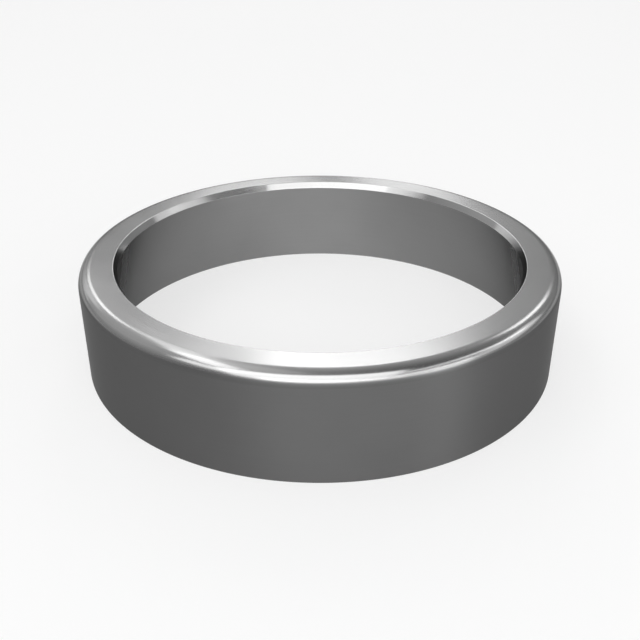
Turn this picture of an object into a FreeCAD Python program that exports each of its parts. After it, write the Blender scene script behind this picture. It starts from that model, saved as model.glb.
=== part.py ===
"""Seamless rolled steel ring, machined as the outer ring of a tapered roller bearing.

One solid, turned about Z. It stands on its thin end, with the thick back face on top.
The outside is a plain cylinder with a large rounded corner at the back face. The bore is a
conical race that opens towards the thin end, under a steep lead-in chamfer at the back face.
Millimetres, +Z up, origin at the centre of the thin end's face.
"""

import FreeCAD
import Part

import math
import os

# Main sizes
outer_diameter = 127.0
ring_width = 27.9
thin_end_wall = 3.9

# Race: a cone whose half angle is measured from the ring's axis
race_half_angle = 13.1

# Back face: the rounded outside corner and the lead-in chamfer of the bore
corner_radius = 3.5
lead_in_depth = 1.8
lead_in_angle = 27.4

# Small edges: breaks at the thin end, and stoned edges on both sides of the lead-in
thin_edge_radius = 0.3
lead_in_edge_radius = 0.2

outer_radius = outer_diameter / 2
race_large_radius = outer_radius - thin_end_wall
race_depth = ring_width - lead_in_depth
race_small_radius = race_large_radius - race_depth * math.tan(math.radians(race_half_angle))
face_inner_radius = race_small_radius + lead_in_depth * math.tan(math.radians(lead_in_angle))

AXIS_POINT = FreeCAD.Vector(0, 0, 0)
AXIS = FreeCAD.Vector(0, 0, 1)


def section_corners():
    """The half section's corners as (distance from the axis, height, edge radius), anticlockwise."""
    return [
        (race_large_radius, 0, thin_edge_radius),
        (outer_radius, 0, thin_edge_radius),
        (outer_radius, ring_width, corner_radius),
        (face_inner_radius, ring_width, lead_in_edge_radius),
        (race_small_radius, race_depth, lead_in_edge_radius),
    ]


def rounded_corner(before, corner, after, radius):
    """The start, middle and end of the arc that rounds one corner of a closed outline."""
    to_before = (before - corner).normalize()
    to_after = (after - corner).normalize()
    half_angle = to_before.getAngle(to_after) / 2
    setback = radius / math.tan(half_angle)
    centre_distance = radius / math.sin(half_angle)
    bisector = (to_before + to_after).normalize()
    start = corner + to_before * setback
    middle = corner + bisector * (centre_distance - radius)
    end = corner + to_after * setback
    return start, middle, end


def section_face():
    """The ring's half section in the XZ plane, with every corner rounded by a tangent arc."""
    corners = section_corners()
    points = [FreeCAD.Vector(x, 0, z) for x, z, _ in corners]
    arcs = []
    for i, (_, _, radius) in enumerate(corners):
        before = points[i - 1]
        after = points[(i + 1) % len(points)]
        arcs.append(rounded_corner(before, points[i], after, radius))
    edges = []
    for i, (start, middle, end) in enumerate(arcs):
        next_start = arcs[(i + 1) % len(arcs)][0]
        edges.append(Part.Arc(start, middle, end).toShape())
        edges.append(Part.LineSegment(end, next_start).toShape())
    return Part.Face(Part.Wire(edges))


def ring():
    """The whole ring: its half section turned once about the axis."""
    return section_face().revolve(AXIS_POINT, AXIS, 360)


def main():
    os.makedirs("parts", exist_ok=True)
    solid = ring()
    solid.exportStep("parts/ring.step")
    print("ring", "valid" if solid.isValid() else "NOT VALID", round(solid.Volume, 1), "mm3")


main()
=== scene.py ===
import math

import bpy
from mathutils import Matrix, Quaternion, Vector


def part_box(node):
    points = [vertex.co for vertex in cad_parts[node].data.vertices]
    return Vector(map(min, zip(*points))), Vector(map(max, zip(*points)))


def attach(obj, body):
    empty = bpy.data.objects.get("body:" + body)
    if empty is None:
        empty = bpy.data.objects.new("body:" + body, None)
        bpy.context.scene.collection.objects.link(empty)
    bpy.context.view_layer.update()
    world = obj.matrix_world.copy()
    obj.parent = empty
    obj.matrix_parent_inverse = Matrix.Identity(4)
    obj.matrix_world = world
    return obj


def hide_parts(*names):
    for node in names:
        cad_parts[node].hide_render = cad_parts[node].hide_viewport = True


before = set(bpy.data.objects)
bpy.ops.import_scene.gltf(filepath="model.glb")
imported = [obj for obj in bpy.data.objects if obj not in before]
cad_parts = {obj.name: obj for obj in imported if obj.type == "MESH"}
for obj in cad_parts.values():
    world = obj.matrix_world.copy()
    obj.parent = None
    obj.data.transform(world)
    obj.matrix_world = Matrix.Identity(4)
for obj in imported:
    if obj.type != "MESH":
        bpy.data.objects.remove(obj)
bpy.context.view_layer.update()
ringLow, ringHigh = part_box("ring")
outerRadius = (ringHigh.x - ringLow.x) / 2
ringWidth = ringHigh.z - ringLow.z
scene = bpy.context.scene
print("frame loaded: ring of radius", round(outerRadius, 5), "m and width", round(ringWidth, 5), "m")


class Wire:  # one output socket, whose arithmetic adds Math nodes to its tree
    def __init__(self, nodes, socket):
        self.nodes, self.socket = nodes, socket

    def math(self, operation, first, second=0.0):
        return self.nodes.add("ShaderNodeMath", {"operation": operation}, {0: first, 1: second})

    def __add__(self, other):
        return self.math("ADD", self, other)

    def __sub__(self, other):
        return self.math("SUBTRACT", self, other)

    def __mul__(self, other):
        return self.math("MULTIPLY", self, other)

    def __truediv__(self, other):
        return self.math("DIVIDE", self, other)

    def __pow__(self, other):
        return self.math("POWER", self, other)

    def __radd__(self, other):
        return self.math("ADD", other, self)

    def __rsub__(self, other):
        return self.math("SUBTRACT", other, self)

    def __rmul__(self, other):
        return self.math("MULTIPLY", other, self)

    def __gt__(self, other):
        return self.math("GREATER_THAN", self, other)

    def __lt__(self, other):
        return self.math("LESS_THAN", self, other)

    def tan(self):
        return self.math("TANGENT", self)

    def clipped(self, low=0.0, high=1.0):
        return self.math("MINIMUM", self.math("MAXIMUM", self, low), high)


class Nodes:  # a node tree being built, for shaders and for geometry
    def __init__(self, tree):
        self.tree = tree
        tree.nodes.clear()

    def add(self, nodeType, settings=None, sockets=None, output=0):
        node = self.tree.nodes.new(nodeType)
        for name, value in (settings or {}).items():
            if name == "items":  # how many cases an Index Switch has
                for _ in range(value - len(node.index_switch_items)):
                    node.index_switch_items.new()
            elif name == "stops":  # a colour ramp's positions and greys
                for place, grey in value[1:-1]:
                    node.color_ramp.elements.new(place)
                for element, (place, grey) in zip(node.color_ramp.elements, value):
                    element.position, element.color = place, (grey, grey, grey, 1)
            else:
                setattr(node, name, value)
        for name, value in (sockets or {}).items():
            if isinstance(value, Wire):
                self.tree.links.new(value.socket, node.inputs[name])
            else:
                node.inputs[name].default_value = value
        return Wire(self, node.outputs[output]) if len(node.outputs) else None

    def out(self, wire, name=0):
        return Wire(self, wire.socket.node.outputs[name])

    def parts(self, vector):  # its X, Y and Z
        split = self.add("ShaderNodeSeparateXYZ", None, {0: vector})
        return split, self.out(split, 1), self.out(split, 2)


# the ring is one half section, swept once round the axis
ringSizes = {  # metres and degrees
    "Outer Radius": outerRadius,
    "Width": ringWidth,
    "Thin End Wall": 0.0039,
    "Race Angle": 13.1,
    "Corner Radius": 0.0035,
    "Lead-in Depth": 0.0018,
    "Lead-in Angle": 27.4,
    "Thin Edge Radius": 0.0003,
    "Lead-in Edge Radius": 0.0002,
    "Segments": 512,
    "Corner Steps": 20,
    "Edge Steps": 5,
}


def sectionTree(sizes, finishes):
    tree = bpy.data.node_groups.new("ringSection", "GeometryNodeTree")
    identifiers = {}
    for name, value in sizes.items():
        kind = "NodeSocketInt" if isinstance(value, int) else "NodeSocketFloat"
        identifiers[name] = tree.interface.new_socket(name, in_out="INPUT", socket_type=kind).identifier
    for name in finishes:
        socket = tree.interface.new_socket(name, in_out="INPUT", socket_type="NodeSocketMaterial")
        identifiers[name] = socket.identifier
    tree.interface.new_socket("Geometry", in_out="OUTPUT", socket_type="NodeSocketGeometry")
    nodes = Nodes(tree)
    given = nodes.add("NodeGroupInput")
    size = {name: nodes.out(given, name) for name in identifiers}

    def radians(name):
        return size[name] * math.radians(1)

    # the five corners of the half section, distance from the axis and height
    raceLarge = size["Outer Radius"] - size["Thin End Wall"]
    raceDepth = size["Width"] - size["Lead-in Depth"]
    raceSmall = raceLarge - raceDepth * radians("Race Angle").tan()
    faceInner = raceSmall + size["Lead-in Depth"] * radians("Lead-in Angle").tan()
    corners = [
        (raceLarge, 0.0, size["Thin Edge Radius"], size["Edge Steps"]),
        (size["Outer Radius"], 0.0, size["Thin Edge Radius"], size["Edge Steps"]),
        (size["Outer Radius"], size["Width"], size["Corner Radius"], size["Corner Steps"]),
        (faceInner, size["Width"], size["Lead-in Edge Radius"], size["Edge Steps"]),
        (raceSmall, raceDepth, size["Lead-in Edge Radius"], size["Edge Steps"]),
    ]
    index = nodes.add("GeometryNodeInputIndex")

    def perCorner(kind, values):
        cases = {i + 1: value for i, value in enumerate(values)}
        settings = {"data_type": kind, "items": len(values)}
        return nodes.add("GeometryNodeIndexSwitch", settings, {0: index, **cases})

    # the sweep turns the section's Y axis down
    places = [nodes.add("ShaderNodeCombineXYZ", None, {0: r, 1: 0 - z}) for r, z, _, _ in corners]
    line = nodes.add("GeometryNodeMeshLine", None, {"Count": len(corners)})
    outline = nodes.add("GeometryNodeMeshToCurve", None, {"Mesh": line})
    outline = nodes.add("GeometryNodeSetSplineCyclic", None, {"Geometry": outline, "Cyclic": True})
    outline = nodes.add("GeometryNodeSetPosition", None, {
        "Geometry": outline,
        "Position": perCorner("VECTOR", places),
    })
    outline = nodes.add("GeometryNodeFilletCurve", {"mode": "POLY"}, {
        "Curve": outline,
        "Count": perCorner("INT", [steps for _, _, _, steps in corners]),
        "Radius": perCorner("FLOAT", [radius for _, _, radius, _ in corners]),
    })
    # the path is a tiny circle, so that the section's distances from the axis stay as given
    path = nodes.add("GeometryNodeCurvePrimitiveCircle", {"mode": "RADIUS"}, {
        "Resolution": size["Segments"],
        "Radius": 1e-9,
    })
    body = nodes.add("GeometryNodeCurveToMesh", None, {"Curve": path, "Profile Curve": outline})
    body = nodes.add("GeometryNodeFlipFaces", None, {"Mesh": body})
    body = nodes.add("GeometryNodeSetShadeSmooth", None, {"Geometry": body})
    body = nodes.add("GeometryNodeRealizeInstances", None, {"Geometry": body})
    # how far a face looks away from the axis: 1 on the outside, 0 on the back face, -1 in a bore;
    # the wall's finish, with its painted dark shade, goes on to 20 degrees up the rounded corner, where
    # this is 0.94
    place = nodes.add("GeometryNodeInputPosition")
    level = nodes.add("ShaderNodeVectorMath", {"operation": "MULTIPLY"}, {0: place, 1: (1, 1, 0)})
    outwards = nodes.add("ShaderNodeVectorMath", {"operation": "NORMALIZE"}, {0: level})
    normal = nodes.add("GeometryNodeInputNormal")
    product = {"operation": "DOT_PRODUCT"}
    facing = nodes.add("ShaderNodeVectorMath", product, {0: normal, 1: outwards}, "Value")
    chosen = {
        "Face Finish": None,
        "Lead-in Finish": facing < -0.3,
        "Corner Finish And Painted Shade": facing > 0.02,
        "Wall Finish And Painted Shade": facing > 0.94,
        "Race Finish And Painted Shade": facing < -0.95,
    }
    for name, selection in chosen.items():
        sockets = {"Geometry": body, "Material": size[name]}
        if selection:
            sockets["Selection"] = selection
        body = nodes.add("GeometryNodeSetMaterial", None, sockets)
    nodes.add("NodeGroupOutput", None, {"Geometry": body})
    return tree, identifiers


def sweptRing(sizes, finishes):
    tree, identifiers = sectionTree(sizes, finishes)
    holder = bpy.data.objects.new("sectionHolder", bpy.data.meshes.new("sectionHolder"))
    scene.collection.objects.link(holder)
    sweep = holder.modifiers.new("sweep", "NODES")
    sweep.node_group = tree
    for name, value in {**sizes, **finishes}.items():
        sweep[identifiers[name]] = value
    normals = holder.modifiers.new("flatFacesStayFlat", "WEIGHTED_NORMAL")
    normals.keep_sharp = False
    settled = holder.evaluated_get(bpy.context.evaluated_depsgraph_get())
    mesh = bpy.data.meshes.new_from_object(settled)
    mesh.name = "machinedRing"
    holder.modifiers.clear()
    bpy.data.objects.remove(holder)
    ring = bpy.data.objects.new("machinedRing", mesh)
    scene.collection.objects.link(ring)
    return ring


# bare bearing steel: the grinding lines run round the ring, so the gloss spreads across them
steelLook = {
    "linePitch": 0.00045,  # across the grinding lines, metres
    "lineLength": 0.03,
    "lineShade": 0.10,  # shares of the grey, from the darkest to the lightest
    "lineRoughness": 0.16,
    "lineDepth": 4e-6,
    "mottleSize": 0.014,
    "mottleShade": 0.14,
    "mottleRoughness": 0.12,
    "streakWidth": 0.013,  # soft upright bands left by the grinding wheel
    "streakHeight": 0.09,
    "streakSeed": 3.7,
    "edgeWidth": 0.0004,
    "edgeShine": 0.06,
}
# a finish's stops run from the foot of the rounded corner, 0, to the back face, 1; the greys are painted
# shade, lit and shaded copies of one steel
wallLook = {
    "name": "groundWallPaintedDark",
    # painted shade: the wall's grey is painted dark, in place of a dark reflection below the ring
    "paintedShadeGreys": [(0.0, 0.14), (0.07, 0.126), (0.208, 0.123), (0.342, 0.145)],
    "roughness": [(0.0, 0.463), (0.139, 0.378), (0.309, 0.359), (0.35, 0.35)],
    "anisotropy": 0.84,
    "streakShade": 0.0,
    # painted shade: the edge tint is set per region to dim the grazing reflection of the pale floor
    "edgeTint": 0.57,
}
cornerLook = {
    "name": "groundCornerPaintedShade",
    # painted shade: up the rounded corner the grey rises from the wall's painted dark to the bright face
    "paintedShadeGreys": [
        (0.3, 0.145), (0.342, 0.145), (0.5, 0.41), (0.707, 0.563),
        (0.866, 0.551), (0.966, 0.542), (1.0, 0.524),
    ],
    "roughness": [(0.309, 0.359), (0.469, 0.238), (0.643, 0.19), (0.866, 0.19), (1.0, 0.24)],
    "anisotropy": 0.524,
    "streakShade": 0.1,
    "edgeTint": 0.396,
}
faceLook = {
    "name": "groundFace",
    "paintedShadeGreys": [(0.0, 0.524), (1.0, 0.524)],
    "roughness": [(0.0, 0.24), (1.0, 0.24)],
    "anisotropy": 0.524,
    "streakShade": 0.1,
    "edgeTint": 0.396,
}
leadInLook = {
    "name": "turnedLeadIn",
    "paintedShadeGreys": [(0.0, 0.524), (1.0, 0.524)],
    "roughness": [(0.0, 0.14), (1.0, 0.14)],
    "anisotropy": 0.524,
    "streakShade": 0.1,
    "edgeTint": 0.396,
}
raceLook = {
    "name": "groundRacePaintedShade",
    # painted shade: the race is painted a middle grey, darker than the face
    "paintedShadeGreys": [(0.0, 0.278), (1.0, 0.278)],
    "roughness": [(0.0, 0.447), (1.0, 0.447)],
    "anisotropy": 0.831,
    "streakShade": 0.0,
    # painted shade: a very low edge tint darkens the race's grazing reflection
    "edgeTint": 0.05,
}


def steel(look):
    material = bpy.data.materials.new(look["name"])
    material.use_nodes = True
    nodes = Nodes(material.node_tree)
    place = nodes.add("ShaderNodeTexCoord", None, None, "Object")
    x, y, z = nodes.parts(place)
    radius = (x * x + y * y) ** 0.5
    along = radius - z  # grows along the whole section, whichever way its surface faces

    def clouds(scale, height, seed=0.0, detail=2.0):  # noise from about -0.5 to 0.5
        at = nodes.add("ShaderNodeCombineXYZ", None, {0: x * scale, 1: y * scale, 2: height})
        sockets = {"Vector": at, "W": seed, "Scale": 1.0, "Detail": detail, "Roughness": 0.5}
        return nodes.add("ShaderNodeTexNoise", {"noise_dimensions": "4D"}, sockets) - 0.5

    lines = clouds(1 / steelLook["lineLength"], along / steelLook["linePitch"], detail=3.0)
    mottle = clouds(1 / steelLook["mottleSize"], z / steelLook["mottleSize"], 1.0, 3.0)
    streakHeight = z / steelLook["streakHeight"]
    streaks = clouds(1 / steelLook["streakWidth"], streakHeight, steelLook["streakSeed"], 0.0)

    # broken edges are rubbed a little brighter
    leadInDepth = ringSizes["Lead-in Depth"]
    raceLarge = outerRadius - ringSizes["Thin End Wall"]
    raceDepth = ringWidth - leadInDepth
    raceSmall = raceLarge - raceDepth * math.tan(math.radians(ringSizes["Race Angle"]))
    faceInner = raceSmall + leadInDepth * math.tan(math.radians(ringSizes["Lead-in Angle"]))
    edges = [(outerRadius, 0.0), (raceLarge, 0.0), (raceSmall, raceDepth), (faceInner, ringWidth)]

    def nearEdge(edgeRadius, edgeHeight):
        across, up = radius - edgeRadius, z - edgeHeight
        away = (across * across + up * up) ** 0.5
        return (1 - away / steelLook["edgeWidth"]).clipped()

    shine = sum(nearEdge(*edge) for edge in edges)

    # 0 at the foot of the rounded corner and 1 at the back face; it sets where the painted shade of the
    # greys changes
    cornerRadius = ringSizes["Corner Radius"]
    rise = ((z - (ringWidth - cornerRadius)) / cornerRadius).clipped()
    # painted shade: the ramp makes the grey dark on the wall and lighter towards the back face
    grey = nodes.add("ShaderNodeValToRGB", {"stops": look["paintedShadeGreys"]}, {0: rise})
    grey = grey * (1 + lines * steelLook["lineShade"] + mottle * steelLook["mottleShade"])
    grey = grey * (1 + streaks * look["streakShade"]) * (1 + shine * steelLook["edgeShine"])
    roughness = nodes.add("ShaderNodeValToRGB", {"stops": look["roughness"]}, {0: rise})
    roughness = roughness * (1 + lines * steelLook["lineRoughness"] + mottle * steelLook["mottleRoughness"])
    bumpSockets = {"Strength": 1.0, "Distance": steelLook["lineDepth"], "Height": lines}
    bump = nodes.add("ShaderNodeBump", None, bumpSockets)
    shader = nodes.add("ShaderNodeBsdfPrincipled", None, {
        "Base Color": nodes.add("ShaderNodeCombineColor", None, {0: grey, 1: grey, 2: grey}),
        "Metallic": 1.0,
        "Roughness": roughness,
        "Specular Tint": (look["edgeTint"],) * 3 + (1,),
        "Anisotropic": look["anisotropy"],
        "Anisotropic Rotation": 0.25,  # a quarter turn, across the grinding lines
        "Normal": bump,
    })
    nodes.add("ShaderNodeOutputMaterial", None, {"Surface": shader})
    return material


# the wall, corner and race finishes carry painted shade in their greys
ring = sweptRing(ringSizes, {
    "Face Finish": steel(faceLook),
    "Lead-in Finish": steel(leadInLook),
    "Corner Finish And Painted Shade": steel(cornerLook),
    "Wall Finish And Painted Shade": steel(wallLook),
    "Race Finish And Painted Shade": steel(raceLook),
})
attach(ring, "root")
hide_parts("ring")
print("ring swept:", len(ring.data.polygons), "faces")

floorLook = {"radius": 4.0, "sides": 96, "grey": 0.34, "glow": 0.635}
worldLook = {"horizon": 0.312, "zenith": 0.278, "left": 0.226, "back": 0.329}
lampReach = 1.6  # metres from the ring to each lamp

# azimuth round the axis from behind the ring towards its right, elevation, seen width, seen height
# and roll, all in degrees, then radiance
lamps = {
    "frontSoftbox": (184.8, 43.4, 64.3, 44.5, -1.5, 1.71),
    "frontLowPanel": (175.0, 20.0, 57.5, 15.5, 10.0, 2.93),
    "leftSoftbox": (237.9, 37.9, 23.0, 14.7, 5.8, 1.27),
    "leftTubeFront": (267.7, 60.7, 31.3, 13.0, 2.9, 1.46),
    "leftTubeMiddle": (286.6, 72.6, 43.6, 20.4, -30.3, 0.28),
    "leftTubeBack": (327.2, 50.4, 43.9, 10.3, -40.4, 0.91),
    "rightBankBack": (89.9, 21.3, 45.9, 19.2, -10.5, 0.81),
    "rightBankFront": (105.4, 36.1, 57.8, 6.0, 14.9, 1.54),
    "stripeLamp": (128.4, 2.8, 17.7, 11.0, 4.8, 3.90),
    "lowFront": (186.5, 14.3, 22.6, 8.5, -2.1, 1.01),
    "lowBackLeft": (318.8, 8.4, 29.0, 5.0, -12.4, 0.51),
    "lowBackRight": (53.8, 13.8, 22.6, 5.0, 5.8, 0.07),
    "backPanel": (3.0, 38.2, 15.8, 16.9, 14.8, 2.27),
    "backPanelLeft": (-5.4, 24.7, 8.2, 10.9, 4.5, 2.23),
    "backPanelRight": (6.4, 15.4, 7.6, 17.0, -15.2, 2.36),
    "backLeftSpot": (-29.1, 30.5, 8.1, 15.3, 16.4, 2.29),
    "backLeftDimSpot": (-43.1, 20.7, 14.8, 17.0, 7.3, 0.52),
    "backRightSpot": (39.2, 35.3, 9.6, 17.3, -19.7, 2.24),
    "rightFill": (130.3, 13.1, 34.0, 30.2, 4.2, 1.81),
}


def whiteFloor(look):
    mesh = bpy.data.meshes.new("floor")
    turns = [2 * math.pi * i / look["sides"] for i in range(look["sides"])]
    corners = [(look["radius"] * math.cos(turn), look["radius"] * math.sin(turn), 0) for turn in turns]
    mesh.from_pydata(corners, [], [range(len(corners))])
    floor = bpy.data.objects.new("floor", mesh)
    scene.collection.objects.link(floor)
    material = bpy.data.materials.new("paleFloor")
    material.use_nodes = True
    nodes = Nodes(material.node_tree)
    paths = nodes.add("ShaderNodeLightPath")
    seen = nodes.out(paths, "Is Camera Ray") + nodes.out(paths, "Is Glossy Ray")
    seen = seen + nodes.out(paths, "Is Transmission Ray")
    paint = nodes.add("ShaderNodeBsdfDiffuse", None, {"Color": (look["grey"],) * 3 + (1,)})
    glow = nodes.add("ShaderNodeEmission", None, {"Strength": seen.clipped() * look["glow"]})
    both = nodes.add("ShaderNodeAddShader", None, {0: paint, 1: glow})
    nodes.add("ShaderNodeOutputMaterial", None, {"Surface": both})
    mesh.materials.append(material)


def paleWorld(look):
    world = bpy.data.worlds.new("studio")
    scene.world = world
    world.use_nodes = True
    nodes = Nodes(world.node_tree)
    right, back, up = nodes.parts(nodes.add("ShaderNodeTexCoord", None, None, "Generated"))
    up = up.clipped()
    grey = look["horizon"] + (look["zenith"] - look["horizon"]) * up
    grey = grey + (look["back"] * back - look["left"] * right) * up ** 0.5
    skySockets = {"Color": (1, 1, 1, 1), "Strength": grey.clipped(0.0, 2.0)}
    sky = nodes.add("ShaderNodeBackground", None, skySockets)
    nodes.add("ShaderNodeOutputWorld", None, {"Surface": sky})


def lamp(name, azimuth, elevation, width, height, roll, radiance):
    light = bpy.data.lights.new(name, "AREA")
    light.shape = "RECTANGLE"
    light.size = 2 * lampReach * math.tan(math.radians(width / 2))
    light.size_y = 2 * lampReach * math.tan(math.radians(height / 2))
    light.energy = radiance * math.pi * light.size * light.size_y
    turn, rise = math.radians(azimuth), math.radians(elevation)
    towards = Vector((math.sin(turn) * math.cos(rise), math.cos(turn) * math.cos(rise), math.sin(rise)))
    holder = bpy.data.objects.new(name, light)
    holder.location = towards * lampReach
    turned = towards.to_track_quat("Z", "Y") @ Quaternion((0, 0, 1), math.radians(-roll))
    holder.rotation_euler = turned.to_euler()
    holder.visible_camera = False
    scene.collection.objects.link(holder)


whiteFloor(floorLook)
paleWorld(worldLook)
for name, settings in lamps.items():
    lamp(name, *settings)
print("studio lit by", len(lamps), "lamps")

# distance and aimHeight are in outer radii, the lens in millimetres
cameraView = {"elevation": 28.46, "distance": 3.75, "aimHeight": 0.0985, "lens": 47.66}


def addCamera(view):
    camera = bpy.data.objects.new("camera", bpy.data.cameras.new("camera"))
    camera.data.lens = view["lens"]
    camera.data.clip_start, camera.data.clip_end = 0.01, 20
    rise = math.radians(view["elevation"])
    aim = Vector((0, 0, view["aimHeight"] * outerRadius))
    away = Vector((0, -math.cos(rise), math.sin(rise)))
    camera.location = aim + away * view["distance"] * outerRadius
    camera.rotation_euler = away.to_track_quat("Z", "Y").to_euler()
    scene.collection.objects.link(camera)
    scene.camera = camera


addCamera(cameraView)
scene.view_settings.view_transform = "Standard"
print("camera placed")
